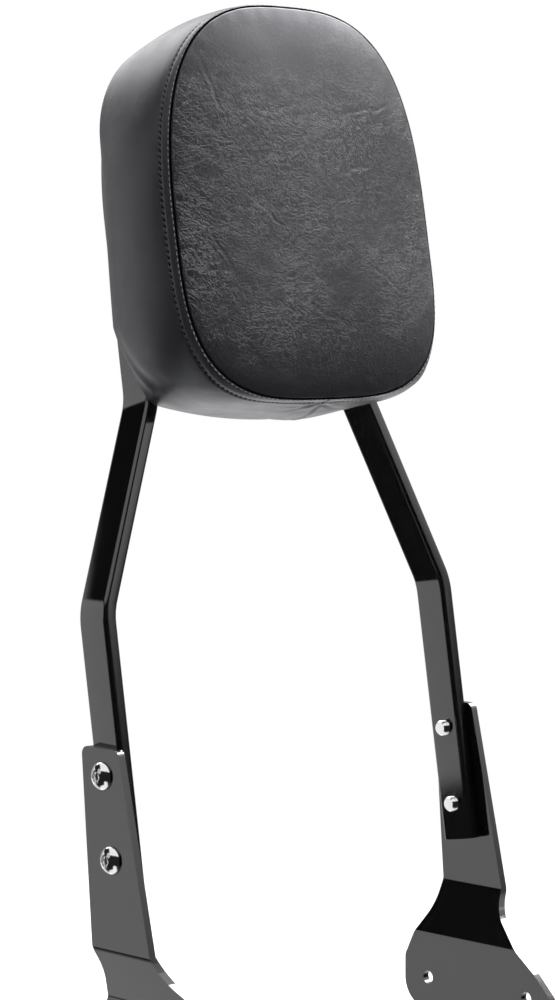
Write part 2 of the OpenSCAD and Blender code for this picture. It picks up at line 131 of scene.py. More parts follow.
def give(ob, slot, material, *nodes):
    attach(ob, "root")
    ob.data.materials.clear()
    ob.data.materials.append(material)
    if nodes:
        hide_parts(*nodes)
    return ob


# ---------------------------------------------------------------- materials
class Nodes:
    """A small builder of node trees."""

    def __init__(self, name):
        self.mat = bpy.data.materials.new(name)
        self.mat.use_nodes = True
        self.t = self.mat.node_tree
        self.bsdf = self.t.nodes["Principled BSDF"]
        self.coord = self.t.nodes.new("ShaderNodeTexCoord").outputs["Object"]

    def node(self, kind, **values):
        n = self.t.nodes.new(kind)
        for k, v in values.items():
            if k.startswith("_"):
                setattr(n, k[1:], v)
        for k, v in values.items():
            if not k.startswith("_"):
                self.put(n.inputs[k.replace("__", " ")], v)
        return n

    def put(self, socket, value):
        if isinstance(value, bpy.types.NodeSocket):
            self.t.links.new(value, socket)
        else:
            socket.default_value = value

    def space(self, scale, rot=(0, 0, 0), of=None):
        m = self.node("ShaderNodeMapping", _vector_type="TEXTURE")
        self.put(m.inputs["Vector"], of or self.coord)
        m.inputs["Rotation"].default_value = [r * RAD for r in rot]
        m.inputs["Scale"].default_value = [1 / s for s in (scale if hasattr(scale, "__len__") else (scale,) * 3)]
        return m.outputs[0]

    def noise(self, scale, detail=2.0, rough=0.5, distortion=0.0, of=None, kind="FBM"):
        n = self.node("ShaderNodeTexNoise", _noise_type=kind)
        n.normalize = True
        self.put(n.inputs["Vector"], of or self.coord)
        n.inputs["Scale"].default_value = scale
        n.inputs["Detail"].default_value = detail
        n.inputs["Roughness"].default_value = rough
        n.inputs["Distortion"].default_value = distortion
        return n.outputs["Fac"]

    def voronoi(self, scale, feature="DISTANCE_TO_EDGE", of=None, rnd=1.0):
        n = self.node("ShaderNodeTexVoronoi", _feature=feature)
        self.put(n.inputs["Vector"], of or self.coord)
        n.inputs["Scale"].default_value = scale
        n.inputs["Randomness"].default_value = rnd
        return n.outputs["Distance"]

    def math(self, op, a, b=0.0, c=0.0, clamp=False):
        n = self.node("ShaderNodeMath", _operation=op, _use_clamp=clamp)
        for s, v in zip(n.inputs, (a, b, c)):
            self.put(s, v)
        return n.outputs[0]

    def span(self, value, lo, hi, to_lo=0.0, to_hi=1.0, smooth=False):
        n = self.node("ShaderNodeMapRange")
        if smooth:
            n.interpolation_type = "SMOOTHSTEP"
        for s, v in zip(("Value", "From Min", "From Max", "To Min", "To Max"), (value, lo, hi, to_lo, to_hi)):
            self.put(n.inputs[s], v)
        return n.outputs[0]

    def mix(self, fac, a, b):
        n = self.node("ShaderNodeMix", _data_type="RGBA")
        self.put(n.inputs[0], fac)
        for s, v in ((6, a), (7, b)):
            if not isinstance(v, bpy.types.NodeSocket):
                v = (*v, 1.0)
            self.put(n.inputs[s], v)
        return n.outputs[2]

    def bump(self, height, distance, strength=1.0, normal=None):
        n = self.node("ShaderNodeBump", Height=height, Distance=distance, Strength=strength)
        if normal is not None:
            self.put(n.inputs["Normal"], normal)
        return n.outputs[0]

    def surface(self, **values):
        for k, v in values.items():
            self.put(self.bsdf.inputs[k.replace("__", " ")], v)
        return self.mat


def vinyl(name, crease, fine, gloss, tint=1.0):
    """Embossed vinyl: short crinkles along two directions that fade towards the top and bottom of the pad, and
    pores, with painted shade darkening the crinkles' valleys. Crease and fine scale the two reliefs, gloss is the
    specular level, and tint scales the colour; below 1 it paints shade over the whole copy."""
    n = Nodes(name)
    warp = n.node("ShaderNodeTexNoise")
    n.put(warp.inputs["Vector"], n.coord)
    warp.inputs["Scale"].default_value = 120
    warp.inputs["Detail"].default_value = 2
    shift = n.node("ShaderNodeVectorMath", _operation="MULTIPLY_ADD")
    n.put(shift.inputs[0], warp.outputs["Color"])
    shift.inputs[1].default_value = (0.006, 0.006, 0.006)
    n.put(shift.inputs[2], n.coord)
    bent = shift.outputs[0]
    flat = n.noise(1.0, 3.0, 0.6, 0.3, n.space((210, 470, 560), (28, 6, 5), bent))
    slant = n.noise(1.0, 3.0, 0.6, 0.3, n.space((200, 450, 540), (-33, 40, -4), bent))
    fold_a = n.span(n.math("ABSOLUTE", n.math("SUBTRACT", flat, 0.5)), 0.0, 0.07, 0.0, 1.0, True)
    fold_b = n.span(n.math("ABSOLUTE", n.math("SUBTRACT", slant, 0.5)), 0.0, 0.07, 0.0, 1.0, True)
    which = n.span(n.noise(20, 2.0, 0.5), 0.42, 0.60, 0.0, 1.0, True)
    folds = n.math("ADD", n.math("MULTIPLY", fold_a, n.math("SUBTRACT", 1.0, which)),
                   n.math("MULTIPLY", fold_b, which))
    sep = n.node("ShaderNodeSeparateXYZ")
    n.put(sep.inputs[0], n.coord)
    high = n.span(sep.outputs[2], 0.560, 0.615, 1.0, 0.25, True)
    low = n.span(sep.outputs[2], 0.385, 0.440, 0.35, 1.0, True)
    patch = n.span(n.noise(16, 2.0, 0.5, of=n.space(1.0, (30, 60, 10))), 0.34, 0.58, 0.62, 1.0, True)
    amount = n.math("MULTIPLY", n.math("MULTIPLY", high, low), patch)
    pores = n.noise(1500, 2.0, 0.6)
    b = n.bump(n.math("MULTIPLY", folds, amount), 0.00026 * crease, 1.0)
    b = n.bump(pores, 0.00007 * fine, 1.0, b)
    tone = n.noise(14, 3.0, 0.55)
    base = (0.0150, 0.0148, 0.0168), (0.0185, 0.0182, 0.0208)
    col = n.mix(n.span(tone, 0.3, 0.7), *[tuple(tint * c for c in b_) for b_ in base])
    # Painted shade: the colour darkens towards black along the crinkles' valleys
    col = n.mix(n.span(folds, 0.0, 1.0, 0.5, 0.0), col, (0.009, 0.009, 0.010))
    rough = n.span(n.noise(90, 3.0, 0.6), 0.3, 0.7, 0.36, 0.42)
    return n.surface(Base__Color=col, Roughness=rough, Normal=b, Specular__IOR__Level=gloss,
                     Specular__Tint=(0.92, 0.93, 1.0, 1.0))


def matt(name, colour):
    """No gloss: thread, and cut edges in the seam. The black thread is partly painted shade of its stitch holes, and
    the black strip in the seam's groove is painted shade.
    """
    n = Nodes(name)
    b = n.bump(n.noise(1800, 2.0), 0.00003, 1.0)
    col = n.mix(n.noise(700, 2.0), tuple(c * 0.7 for c in colour), tuple(c * 1.3 for c in colour))
    return n.surface(Base__Color=col, Roughness=0.9, Normal=b, Specular__IOR__Level=0.0)


def foam(name):
    n = Nodes(name)
    cells = n.span(n.voronoi(900), 0.0, 0.3, 0.0, 1.0, True)
    b = n.bump(cells, 0.0002, 1.0)
    col = n.mix(n.noise(60, 3.0), (0.55, 0.47, 0.30), (0.68, 0.60, 0.42))
    return n.surface(Base__Color=col, Roughness=0.9, Normal=b)


def paint(name):
    n = Nodes(name)
    peel = n.noise(420, 2.0, 0.5)
    b = n.bump(peel, 0.0000045, 1.0)
    dust = n.span(n.noise(900, 4.0, 0.7), 0.62, 0.80, 0.0, 1.0, True)
    col = n.mix(dust, (0.0035, 0.0034, 0.0036), (0.008, 0.008, 0.008))
    rough = n.span(n.noise(36, 3.0, 0.6), 0.3, 0.7, 0.05, 0.09)
    return n.surface(Base__Color=col, Roughness=rough, Normal=b, IOR=1.85)


def chrome(name):
    n = Nodes(name)
    b = n.bump(n.noise(700, 2.0, 0.5), 0.000003, 1.0)
    col = n.mix(n.span(n.noise(160, 2.0), 0.35, 0.65), (0.80, 0.80, 0.82), (0.86, 0.86, 0.87))
    rough = n.span(n.noise(500, 3.0, 0.6), 0.3, 0.7, 0.04, 0.09)
    return n.surface(Base__Color=col, Roughness=rough, Normal=b, Metallic=1.0)


def zinc(name):
    n = Nodes(name)
    b = n.bump(n.noise(1.0, 2.0, 0.6, of=n.space((1800, 260, 1800))), 0.00001, 1.0)
    col = n.mix(n.span(n.noise(220, 3.0), 0.35, 0.65), (0.50, 0.51, 0.52), (0.64, 0.64, 0.62))
    rough = n.span(n.noise(300, 3.0, 0.6), 0.3, 0.7, 0.22, 0.36)
    return n.surface(Base__Color=col, Roughness=rough, Normal=b, Metallic=1.0)


def plastic(name):
    n = Nodes(name)
    grain = n.span(n.voronoi(1500), 0.0, 0.25, 0.0, 1.0, True)
    b = n.bump(grain, 0.00004, 1.0)
    b = n.bump(n.noise(3200, 2.0, 0.6), 0.00002, 1.0, b)
    col = n.mix(n.span(n.noise(40, 3.0), 0.3, 0.7), (0.016, 0.016, 0.017), (0.024, 0.024, 0.025))
    rough = n.span(n.noise(120, 2.0), 0.3, 0.7, 0.48, 0.60)
    return n.surface(Base__Color=col, Roughness=rough, Normal=b)


def thread(name, colour):
    n = Nodes(name)
    twist = n.node("ShaderNodeTexWave", _wave_type="BANDS", _bands_direction="DIAGONAL")
    n.put(twist.inputs["Vector"], n.space(1400))
    twist.inputs["Scale"].default_value = 1.0
    b = n.bump(twist.outputs["Fac"], 0.00008, 1.0)
    col = n.mix(n.noise(1500, 2.0), tuple(c * 0.8 for c in colour), tuple(c * 1.2 for c in colour))
    return n.surface(Base__Color=col, Roughness=0.7, Normal=b)


# The front panel's copy of the same vinyl is darkened by its tint of 0.6: painted shade
VINYL_FACE_SHADED = vinyl("vinyl_face_painted_shade", 0.37, 0.7, 0.5, 0.6)
VINYL_WALL = vinyl("vinyl_wall", 0.16, 0.6, 0.85)
PAINT = paint("gloss_black_coat")
CHROME = chrome("polished_chrome")
ZINC = zinc("bright_zinc")
PLASTIC = plastic("moulded_black")
FOAM = foam("open_cell_foam")
# Black thread, made near-black and matt partly as painted shade of its stitch holes
THREAD_BLACK_AND_SHADE = matt("thread_black_and_shade", (0.004, 0.004, 0.004))
# Painted shade: near-black matt colour for the strip that lies in the seam's groove
SEAM_SHADE_BLACK = matt("painted_seam_shade", (0.002, 0.002, 0.002))
# Grey thread in the seam, lightened partly as a painted highlight along the band's rolled edge
THREAD_GREY_AND_HIGHLIGHT = thread("thread_grey_and_highlight", (0.26, 0.26, 0.27))


# ---------------------------------------------------------------- the pad's form
def lame(a, w, up, down, n_up, n_down):
    top = np.sin(a) >= 0
    h = np.where(top, up, down)
    n = np.where(top, n_up, n_down)
    return ((np.abs(np.cos(a)) / w) ** n + (np.abs(np.sin(a)) / h) ** n) ** (-1 / n)


def ray_circle(a, cx, cz, r):
    m = np.abs(np.cos(a)) * cx + np.sin(a) * cz
    return m + np.sqrt(np.maximum(0, m * m - cx * cx - cz * cz + r * r))


def seam_r(a, swell=0.0):
    f = swell / SWELL
    return lame(a, SEAM_W + swell, SEAM_UP + swell * 0.48, BELLY + swell * 0.28,
                FRONT_TOP + (REAR_TOP - FRONT_TOP) * f, FRONT_LOW + (REAR_LOW - FRONT_LOW) * f)


def hoop_r(a, off):
    c, s = np.abs(np.cos(a)), np.sin(a)
    side = (NECK_W / 2 + off) / np.maximum(0.001, c)
    z = PAD_MID + side * s
    sh = ray_circle(a, SHOULDER_X, SHOULDER_Z - PAD_MID, SHOULDER + off)
    co = ray_circle(a, CORNER_X, CORNER_Z - PAD_MID, TRAY_R + off)
    up = np.arctan2(sh * c, PAD_MID + sh * s - CROWN_Z)
    down = np.arctan2(co * c, EDGE_Z - PAD_MID - co * s)
    top = np.where(up < SWEEP, ray_circle(a, 0, CROWN_Z - PAD_MID, CROWN + off), sh)
    low = np.where(down < EDGE_SWEEP, ray_circle(a, 0, EDGE_Z - PAD_MID, TRAY_EDGE + off), co)
    return np.where(z > SHOULDER_Z, top, np.where(z > CORNER_Z, side, low))


def seam_v(z):
    m = (z - PAD_BOTTOM) / (HOOP_H + PAD_OVER - PAD_BOTTOM) * 2 - 1
    return SEAM_DEPTH - SEAM_BOW * np.maximum(0, 1 - m * m)


def lip_v(z):
    t = np.clip((z - LIP_START) / LIP_RISE, 0, 1)
    back = LIP_TAPER * np.maximum(0, (z - LIP_FULL) / (HOOP_H - LIP_FULL))
    return LIP_FRONT - (LIP_FRONT + LIP_DEPTH) * (1 - (1 - t) ** 1.2) + back


# Side wall from the seam to the lip: share of the depth, of the swell, of the turn-in, and of the flare
WALL = np.array([[0, 0, 0, 0], [0.09, 0.4, 0, 0], [0.24, 0.8, 0, 0], [0.4, 1, 0, 0.02], [0.56, 1, 0.02, 0.08],
                 [0.7, 0.98, 0.13, 0.2], [0.8, 0.95, 0.3, 0.45], [0.885, 0.9, 0.52, 0.75],
                 [0.95, 0.85, 0.76, 0.93], [1, 0.8, 1, 1]])


def smooth_table(t):
    """Catmull-Rom through WALL at t from 0 to 9."""
    t = np.clip(t, 0, 9 - 1e-9)
    i = np.floor(t).astype(int)
    f = (t - i)[..., None]
    g = lambda k: WALL[np.clip(k, 0, 9)]
    p0, p1, p2, p3 = g(i - 1), g(i), g(i + 1), g(i + 2)
    return 0.5 * (2 * p1 + (p2 - p0) * f + (2 * p0 - 5 * p1 + 4 * p2 - p3) * f ** 2
                  + (3 * p1 - p0 - 3 * p2 + p3) * f ** 3)


def wall_point(a, t, slack=0.0):
    """Points of the side wall in mm: x, depth, height along the bar. Slack draws its swell in."""
    w = smooth_table(t)
    edge = hoop_r(a, LIP_OUT)
    swollen = seam_r(a, SWELL * w[..., 1]) - slack * w[..., 1] * (1 - w[..., 2])
    out = swollen + np.maximum(0, edge - FLARE - swollen) * w[..., 0]
    r = out + (edge - out) * np.where(edge > out, w[..., 3], w[..., 2])
    s = seam_v(PAD_MID + seam_r(a) * np.sin(a))
    e = lip_v(PAD_MID + edge * np.sin(a))
    return np.stack([r * np.cos(a), s + (e - s) * w[..., 0], PAD_MID + r * np.sin(a)], -1)


def face_point(a, r, slack=0.0):
    """Points of the front panel in mm at radius r from its middle. Slack flattens its crown."""
    q = np.clip(r / seam_r(a), 0, 1)
    z = PAD_MID + r * np.sin(a)
    return np.stack([r * np.cos(a), seam_v(z) + (FACE_CROWN - slack) * (1 - q ** 5), z], -1)


def normals(p):
    """Unit normals of a grid of points, rows by closed columns."""
    du = np.gradient(p, axis=0)
    dv = (np.roll(p, -1, 1) - np.roll(p, 1, 1)) / 2
    n = np.cross(du, dv)
    ln = np.linalg.norm(n, axis=-1, keepdims=True)
    return n / np.maximum(ln, 1e-9)


# Columns: evenly spaced along the seam, and twice as many beside it
COLS = 720
dense = np.linspace(-math.pi, math.pi, 7201)
rs = seam_r(dense)
path = np.stack([rs * np.cos(dense), rs * np.sin(dense)], -1)
run = np.concatenate([[0], np.cumsum(np.linalg.norm(np.diff(path, axis=0), axis=1))])
SEAM_LEN = run[-1]
ALONG_F = np.arange(2 * COLS) * SEAM_LEN / (2 * COLS)
ANG_F = np.interp(ALONG_F, run, dense)
ALONG, ANG = ALONG_F[::2], ANG_F[::2]

STITCH_OFF, STITCH_PITCH = 7.0, 3.75
STITCHES = int(round(SEAM_LEN / STITCH_PITCH))
PITCH = SEAM_LEN / STITCHES


# ---------------------------------------------------------------- cloth pass over the whole cover
SLACK_FACE, SLACK_WALL = 1.2, 0.7
RISE_FACE, RISE_WALL, CAP = 2.3, 1.3, 5.0
VOXEL, PRESSURE, LAST_FRAME = 0.005, 4.0, 20
READ_POINTS, READ_REACH = 24, 0.009


def swell_field():
    """Inflates the slack cover, held at its front seam and its lip, and gives a function of the swell at points."""
    a = ANG_F[::10]
    shares = (0.1, 0.22, 0.34, 0.46, 0.58, 0.69, 0.79, 0.87, 0.94, 1.0)
    rings = [face_point(a, seam_r(a) * q, SLACK_FACE) for q in shares]
    rings += [wall_point(a, np.full(a.shape, t), SLACK_WALL) for t in np.linspace(0.4, 9, 18)]
    p = np.array(rings)
    flat = np.concatenate([world(p[..., 0], p[..., 1], p[..., 2]).reshape(-1, 3),
                           world(0, SEAM_DEPTH - SEAM_BOW + FACE_CROWN - SLACK_FACE, PAD_MID).reshape(1, 3),
                           world(0, 5.0, PAD_MID).reshape(1, 3)])
    m, rows = len(a), len(rings)
    faces = grid_faces(rows, m)
    faces += [(m * rows, (j + 1) % m, j) for j in range(m)]
    faces += [(m * (rows - 1) + j, m * (rows - 1) + (j + 1) % m, m * rows + 1) for j in range(m)]
    ob = mesh_object("cover_blank", flat, faces)
    re = ob.modifiers.new("voxels", "REMESH")
    re.mode = "VOXEL"
    re.voxel_size = VOXEL
    deps = bpy.context.evaluated_depsgraph_get()
    me = bpy.data.meshes.new_from_object(ob.evaluated_get(deps))
    sim = bpy.data.objects.new("cover_cloth", me)
    bpy.context.scene.collection.objects.link(sim)
    start = np.empty(len(me.vertices) * 3)
    me.vertices.foreach_get("co", start)
    start = start.reshape(-1, 3)
    nor = np.array([v.normal[:] for v in me.vertices])
    fixed = KDTree(2 * len(a))
    for i, q in enumerate(np.concatenate([world(*rings[9].T), world(*rings[-1].T)])):
        fixed.insert(q, i)
    fixed.balance()
    d = np.array([fixed.find(v)[2] for v in start])
    y, z = start[:, 1] * 1000 - BACK, start[:, 2] * 1000 - UP
    depth = z * math.sin(LEAN) - y * math.cos(LEAN)
    height = z * math.cos(LEAN) + y * math.sin(LEAN)
    inside = (depth < lip_v(height) + 3.5)
    hold = np.where(inside | (d < 0.0045), 1.0, 0.0)
    group = sim.vertex_groups.new(name="hold")
    for i in np.nonzero(hold)[0]:
        group.add([int(i)], 1.0, "REPLACE")
    cl = sim.modifiers.new("cloth", "CLOTH")
    st = cl.settings
    st.quality = 6
    st.mass = 0.35
    st.tension_stiffness, st.compression_stiffness, st.shear_stiffness = 22, 22, 12
    st.bending_stiffness = 0.6
    st.use_pressure = True
    st.uniform_pressure_force = PRESSURE
    st.vertex_group_mass = "hold"
    st.effector_weights.gravity = 0
    cl.collision_settings.use_collision = False
    scene = bpy.context.scene
    for frame_no in range(1, LAST_FRAME + 1):
        scene.frame_set(frame_no)
    got = bpy.data.meshes.new_from_object(sim.evaluated_get(bpy.context.evaluated_depsgraph_get()))
    end = np.empty(len(got.vertices) * 3)
    got.vertices.foreach_get("co", end)
    rise = ((end.reshape(-1, 3) - start) * nor).sum(-1) * 1000
    scene.frame_set(1)
    for o in (ob, sim):
        bpy.data.objects.remove(o)
    front = nor[:, 1] < -0.8
    print("cloth: front swell", np.percentile(rise[front], [5, 50, 95]).round(2),
          "wall swell", np.percentile(rise[~front & (hold < 1)], [5, 50, 95]).round(2), "points", len(rise))
    rise = np.clip(rise, -CAP, CAP)
    tree = KDTree(len(start))
    for i, q in enumerate(start):
        tree.insert(q, i)
    tree.balance()

    def at(points, most):
        """Swell in mm at points in metres, scaled so that its widest is the slack that it takes up."""
        out = np.empty(len(points))
        for k, q in enumerate(points):
            near = tree.find_n(q, READ_POINTS)
            w = np.array([math.exp(-(c[2] / READ_REACH) ** 2) for c in near])
            out[k] = (w * rise[[c[1] for c in near]]).sum() / max(w.sum(), 1e-9)
        return out * most / max(np.percentile(out, 93), 0.2)
    return at


SWELL_AT = swell_field()


def settle(p, n, most, cols):
    """The swell of the cloth, in mm, at a grid of points, read on every second column and halfway between them."""
    flat = world(p[..., 0], p[..., 1], p[..., 2])
    h = SWELL_AT(flat[:, ::2].reshape(-1, 3), most).reshape(p.shape[0], -1)
    full = np.empty(p.shape[:2])
    full[:, ::2] = h
    full[:, 1::2] = (h + np.roll(h, -1, 1)) / 2
    return full


def softness(p):
    """Slow unevenness of upholstery over foam, in mm."""
    x, v, z = p[..., 0], p[..., 1], p[..., 2]
    return (0.14 * np.sin(x / 31 + 0.6) * np.sin(z / 43 + 1.1) + 0.07 * np.sin(x / 17 + z / 23 + v / 29)
            + 0.04 * np.sin(z / 13 - x / 19 + 2.0))


def crease(x, z, a, b, width, depth):
    """A shallow fold along the segment a-b, fading at its ends."""
    a, b = np.array(a, float), np.array(b, float)
    d = b - a
    ln = np.linalg.norm(d)
    t = ((x - a[0]) * d[0] + (z - a[1]) * d[1]) / ln
    s = ((x - a[0]) * d[1] - (z - a[1]) * d[0]) / ln
    s = s + 1.2 * np.sin(t / 7.0) + 0.6 * np.sin(t / 2.9)
    fade = np.clip(t / (0.3 * ln), 0, 1) * np.clip((ln - t) / (0.3 * ln), 0, 1)
    return -depth * fade * (np.exp(-(s / width) ** 2) - 0.55 * np.exp(-((s - 1.7 * width) / width) ** 2))


CREASES = [((-58, 443), (-4, 450), 1.0, 0.20), ((36, 446), (82, 455), 1.0, 0.18),
           ((-82, 481), (-64, 440), 1.1, 0.12), ((-90, 372), (-70, 344), 1.0, 0.14),
           ((-60, 395), (-24, 372), 1.1, 0.10), ((20, 405), (62, 418), 1.1, 0.10),
           ((-30, 330), (20, 312), 1.1, 0.10), ((40, 350), (80, 330), 1.1, 0.10)]


def make_face():
    near = np.array([0, 0.25, 0.5, 0.75, 1, 1.3, 1.6, 2, 2.5, 3.1, 3.8, 4.6, 5.5, 6.5, 7.6, 8.8, 10,
                     11.4, 12.8, 14.2])
    far = np.linspace(0, 1, 88)[1:-1]
    r_s = seam_r(ANG)
    r = np.array([r_s - d for d in near] + [(r_s - near[-1]) * (1 - f) for f in far])
    a = np.broadcast_to(ANG, r.shape)
    p = face_point(a, r, SLACK_FACE)
    n = normals(p)
    n *= np.sign(n[..., 1:2].mean())
    d = r_s - r
    ramp_in = 1 - np.exp(-(d / 5) ** 2)
    h = settle(p, n, RISE_FACE, COLS) * ramp_in
    h = h - 1.3 * np.clip(1 - d / 1.5, 0, 1) ** 2 + 0.25 * np.clip(d / 9, 0, 1) * np.exp(-d / 16)
    h = h + 0.08 * np.sin(ALONG / 9.1) * np.sin(ALONG / 3.3 + 1) * np.exp(-(d / 9) ** 2)
    edge = 1 - np.exp(-(d / 12) ** 2)
    h = h + softness(p) * edge
    for seg in CREASES:
        h = h + crease(p[..., 0], p[..., 2], *seg) * edge
    p = p + n * h[..., None]
    centre = p[-1].mean(0)
    verts = np.concatenate([world(p[..., 0], p[..., 1], p[..., 2]).reshape(-1, 3), world(*centre).reshape(1, 3)])
    faces = grid_faces(len(r), COLS)
    last = (len(r) - 1) * COLS
    faces += [(last + j, len(verts) - 1, last + (j + 1) % COLS) for j in range(COLS)]
    return mesh_object("front_panel_vinyl", verts, faces)


def wall_grid():
    """The side wall at set distances from the seam, in mm, on the fine columns."""
    t = np.linspace(0, 9, 181)
    tt, aa = np.meshgrid(t, ANG_F, indexing="ij")
    p = wall_point(aa, tt, SLACK_WALL)
    step = np.linalg.norm(np.diff(p, axis=0), axis=-1)
    arc = np.concatenate([np.zeros((1, len(ANG_F))), np.cumsum(step, 0)])
    near = np.concatenate([np.arange(0, 2.6, 0.26), np.arange(2.6, 5.2, 0.52), np.arange(5.2, 9.3, 0.34)])
    far = np.linspace(0, 1, 58)[1:]
    s = np.array([np.full(len(ANG_F), d) for d in near] + [near[-1] + (arc[-1] - near[-1]) * f for f in far])
    q = np.empty(s.shape + (3,))
    for j in range(len(ANG_F)):
        for c in range(3):
            q[:, j, c] = np.interp(s[:, j], arc[:, j], p[:, j, c])
    n = normals(q)
    out = np.stack([np.cos(ANG_F), 0 * ANG_F, np.sin(ANG_F)], -1)
    n *= np.sign((n[10] * out).sum())
    return q, n, s, arc[-1], len(near)


def wall_height(q, s, length):
    beat = 0.5 + 0.5 * np.cos(2 * math.pi * ALONG_F / PITCH)
    h = -1.1 * np.clip(1 - s / 1.3, 0, 1) ** 2
    h = h + 0.42 * np.exp(-((s - 3.6) / 2.4) ** 4)
    h = h - (0.40 + 0.75 * beat ** 2) * np.exp(-((s - STITCH_OFF) / 0.85) ** 2)
    h = h + 0.30 * np.clip((s - STITCH_OFF) / 6, 0, 1)
    rest = np.clip((s - 9) / 12, 0, 1) * np.clip((length - s) / 10, 0, 1)
    h = h + softness(q) * rest * 1.3
    # the band's join at the bottom, with the folds that its ends pull
    x = q[..., 0]
    under = (np.sin(ANG_F) < -0.5)[None, :]
    join = -0.8 * np.exp(-((x - 1.0) / 0.9) ** 2) + 0.22 * np.exp(-((x - 4.2) / 2.2) ** 2)
    pull = np.zeros_like(x)
    for x0, s0, x1, s1, deep in ((0, 7, -24, 19, 0.5), (4, 10, 22, 17, 0.3), (-6, 11, -36, 13, 0.25)):
        along = np.clip(((x - x0) * (x1 - x0) + (s - s0) * (s1 - s0)) / ((x1 - x0) ** 2 + (s1 - s0) ** 2), 0, 1)
        off = np.hypot(x - x0 - along * (x1 - x0), s - s0 - along * (s1 - s0))
        pull -= deep * (1 - along) ** 0.7 * (np.exp(-(off / 1.3) ** 2) - 0.5 * np.exp(-((off - 2.6) / 1.8) ** 2))
    h = h + np.where(under, join + pull, 0)
    # the soft ridge where the cover turns in beside each bar
    low_side = np.exp(-((q[..., 2] - 296) / 26) ** 2) * np.where(np.abs(np.cos(ANG_F)) > 0.5, 1, 0)
    ridge = 0.9 * np.exp(-((length - s - 9.0) / 4.0) ** 2) - 0.6 * np.exp(-((length - s - 17.0) / 5.0) ** 2)
    return h + low_side * ridge


def make_wall():
    q, n, s, length, fine = wall_grid()
    swell = settle(q, n, RISE_WALL, 2 * COLS) * np.clip(s / 5, 0, 1) * np.clip((length - s) / 8, 0, 1)
    shaped = q + n * (wall_height(q, s, length) + swell)[..., None]
    coarse = shaped[fine:, ::2]
    # round the lip and into the skirt
    inner = []
    z = PAD_MID + hoop_r(ANG, LIP_OUT) * np.sin(ANG)
    for off, dv in ((3.9, -0.55), (3.1, -0.75), (2.1, -0.6), (1.5, -0.2), (1.3, 0.6), (1.25, 1.6), (1.25, 3.2)):
        r = hoop_r(ANG, off)
        inner.append(np.stack([r * np.cos(ANG), lip_v(z) + dv, PAD_MID + r * np.sin(ANG)], -1))
    coarse = np.concatenate([coarse, np.array(inner)])
    m = 2 * COLS
    flat = np.concatenate([shaped[:fine].reshape(-1, 3), coarse.reshape(-1, 3)])
    verts = world(flat[:, 0], flat[:, 1], flat[:, 2])
    faces = grid_faces(fine, m)
    top, low = (fine - 1) * m, fine * m
    for j in range(COLS):
        a, b, c = top + 2 * j, top + 2 * j + 1, top + (2 * j + 2) % m
        d, e = low + j, low + (j + 1) % COLS
        faces += [(a, d, b), (b, d, e), (b, e, c)]
    faces += grid_faces(len(coarse), COLS, start=low)
    return mesh_object("boxing_band_vinyl", verts, faces), shaped, n, s


def capsules(name, points, tangents, ups, length, radius, squash=0.8, rings=7, sides=8):
    """Short thread stitches, one for each point."""
    verts, faces = [], []
    for c, t, up in zip(points, tangents, ups):
        side = np.cross(t, up)
        side /= np.linalg.norm(side)
        base = len(verts)
        for i in range(rings):
            f = -1 + 2 * i / (rings - 1)
            w = radius * max(0.02, 1 - abs(f) ** 3.2) ** 0.5
            mid = c + t * (f * length / 2) - up * (radius * 1.1 * f * f)
            for k in range(sides):
                g = 2 * math.pi * k / sides
                verts.append(mid + side * (w * math.cos(g)) + up * (w * squash * math.sin(g)))
        faces += grid_faces(rings, sides, start=base)
        faces += [tuple(base + k for k in range(sides)), tuple(base + (rings - 1) * sides + k for k in range(sides))]
    return mesh_object(name, np.array(verts) * 0.001, faces)


def world_dir(d):
    v = world(d[..., 0], d[..., 1], d[..., 2]) - world(0, 0, 0)
    return v / np.linalg.norm(v, axis=-1, keepdims=True)


def stitch_row(name, grid, n, s, off, length, radius, raise_by, phase=0.0):
    i = int(np.argmin(np.abs(s[:, 0] - off)))
    line = grid[i] + n[i] * raise_by
    wrap = lambda v: np.concatenate([v, v[:1]])
    along = np.append(ALONG_F, SEAM_LEN)
    at = ((np.arange(STITCHES) + phase) * PITCH) % SEAM_LEN
    read = lambda v, q: np.stack([np.interp(q, along, wrap(v)[:, c]) for c in range(3)], -1)
    pts, nor = read(line, at), read(n[i], at)
    tan = read(line, (at + 0.5) % SEAM_LEN) - read(line, (at - 0.5) % SEAM_LEN)
    p = world(pts[:, 0], pts[:, 1], pts[:, 2]) * 1000
    return capsules(name, p, world_dir(tan), world_dir(nor), length, radius)


def painted_seam_shade(radius, sunk):
    """Painted shade in the seam between the front panel and the band: a black round strip that lies in the groove."""
    r = seam_r(ANG)
    tangent = np.stack([np.roll(r * np.cos(ANG), -1) - np.roll(r * np.cos(ANG), 1),
                        np.roll(r * np.sin(ANG), -1) - np.roll(r * np.sin(ANG), 1)], -1)
    out = np.stack([tangent[:, 1], -tangent[:, 0]], -1)
    out /= np.linalg.norm(out, axis=-1, keepdims=True)
    out *= np.sign((out * np.stack([np.cos(ANG), np.sin(ANG)], -1)).sum(-1, keepdims=True))
    v0 = seam_v(PAD_MID + r * np.sin(ANG)) - sunk * 0.75
    rings = []
    for k in range(10):
        g = 2 * math.pi * k / 10
        o = radius * math.cos(g) - sunk * 0.6
        rings.append(np.stack([r * np.cos(ANG) + out[:, 0] * o, v0 + radius * math.sin(g),
                               PAD_MID + r * np.sin(ANG) + out[:, 1] * o], -1))
    p = np.array(rings)
    verts = world(p[..., 0], p[..., 1], p[..., 2]).reshape(-1, 3)
    return mesh_object("seam_gap_strip", verts, grid_faces(10, COLS, close_rows=True))


face = make_face()
give(face, "vinyl", VINYL_FACE_SHADED, "front_panel")
wall, wall_pts, wall_n, wall_s = make_wall()
give(wall, "vinyl", VINYL_WALL, "boxing_band")
